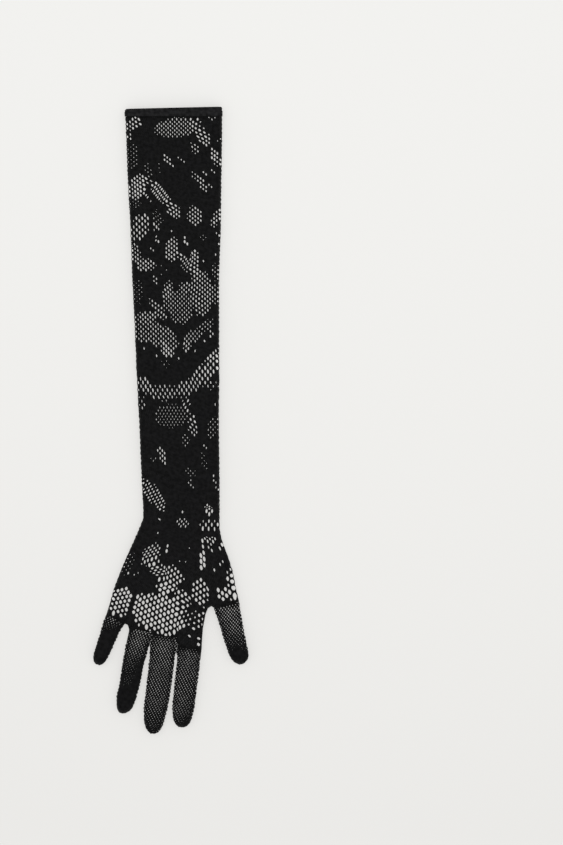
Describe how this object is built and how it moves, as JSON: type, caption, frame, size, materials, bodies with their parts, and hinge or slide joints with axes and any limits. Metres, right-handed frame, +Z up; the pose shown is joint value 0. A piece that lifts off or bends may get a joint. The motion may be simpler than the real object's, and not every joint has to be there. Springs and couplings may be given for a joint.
{
  "type": "glove",
  "caption": "Long opera-length lace glove lying flat: a hollow knitted sleeve and hand with openwork patches, closed finger tubes and a double hem",
  "frame": {"origin": "On the surface the glove lies on, under the middle of its outline", "axes": "+Y runs from the fingertips to the hem, +X to the thumb's side, +Z up from the surface"},
  "size_m": [0.1431, 0.5764, 0.0098],
  "materials": {
    "lace": "matte black nylon lace",
    "finger_net": "matte black fine net",
    "hem_knit": "matte black doubled knit"
  },
  "bodies": {
    "root": {"hem_band": "hem_knit", "lace_sleeve": "lace", "thumb": "finger_net", "index_finger": "finger_net", "middle_finger": "finger_net", "ring_finger": "finger_net", "little_finger": "finger_net"}
  },
  "joints": []
}
